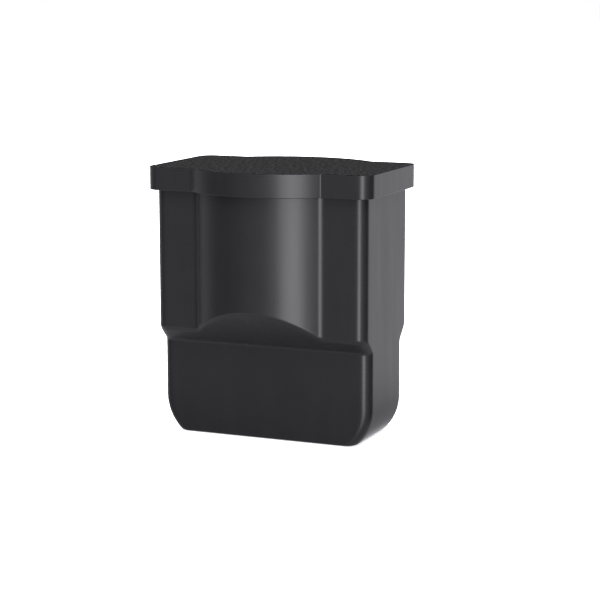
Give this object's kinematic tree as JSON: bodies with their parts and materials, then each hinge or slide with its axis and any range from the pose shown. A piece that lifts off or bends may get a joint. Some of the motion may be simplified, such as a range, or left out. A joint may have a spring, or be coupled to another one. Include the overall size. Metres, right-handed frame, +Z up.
{
  "type": "trash compactor",
  "caption": "Slim black push-lid trash compactor bin: bulged housing, lift-out bucket, and a cap lid that carries a sprung press plate.",
  "frame": {"origin": "centre of the bounding box on the floor plane that the feet stand on", "axes": "+Z up, +X to the right and -Y to the front of the bin, whose front and back are alike"},
  "size_m": [0.2978, 0.2292, 0.339],
  "materials": {
    "black_plastic": "satin moulded",
    "grained_plastic": "satin rim with a fine moulded grain on top",
    "grey_plastic": "satin moulded",
    "black_rubber": "matte",
    "white_acetal": "machined",
    "aluminium": "satin anodised",
    "steel": "zinc plated",
    "charcoal_felt": "felted carbon"
  },
  "bodies": {
    "housing": {"bucket_rest_left": "black_rubber", "bucket_rest_right": "black_rubber", "foot_front_left": "black_rubber", "foot_front_right": "black_rubber", "foot_rear_left": "black_rubber", "foot_rear_right": "black_rubber", "housing_shell": "black_plastic"},
    "bucket": {"bucket_shell": "grey_plastic", "bag_ring": "black_plastic"},
    "lid": {"column_end_cap": "white_acetal", "column_flange": "aluminium", "column_tube": "aluminium", "filter_frame": "black_plastic", "filter_hinge_pin": "steel", "filter_pad": "charcoal_felt", "flange_screw_front_left": "steel", "flange_screw_front_right": "steel", "flange_screw_rear_left": "steel", "flange_screw_rear_right": "steel", "lid_panel": "black_plastic", "lid_seal": "black_rubber", "lid_shell": "grained_plastic", "panel_screw_front_left": "steel", "panel_screw_front_middle": "steel", "panel_screw_front_right": "steel", "panel_screw_rear_left": "steel", "panel_screw_rear_middle": "steel", "panel_screw_rear_right": "steel", "ram_spring": "steel"},
    "ram": {"ram_rod": "steel", "rod_stop_collar": "white_acetal", "rod_top_bush": "white_acetal", "plate_pin": "steel", "press_plate": "black_plastic", "plate_wiper": "black_rubber"},
    "filter_door": {"filter_door": "black_plastic"}
  },
  "joints": [
    {"name": "bucket_lift", "type": "slide", "parent": "housing", "child": "bucket", "axis": [0, 0, 1], "range_m": [0, 0.32]},
    {"name": "lid_lift", "type": "slide", "parent": "bucket", "child": "lid", "axis": [0, 0, 1], "range_m": [0, 0.16]},
    {"name": "ram_float", "type": "slide", "parent": "lid", "child": "ram", "axis": [0, 0, 1], "range_m": [0, 0.025], "stiffness_N_per_m": 1200, "springref_m": -0.02, "deforming": ["ram_spring"]},
    {"name": "filter_door_hinge", "type": "hinge", "parent": "lid", "child": "filter_door", "pos_m": [-0.0422, 0, 0.3082], "axis": [0, -1, 0], "range_deg": [0, 95]}
  ]
}
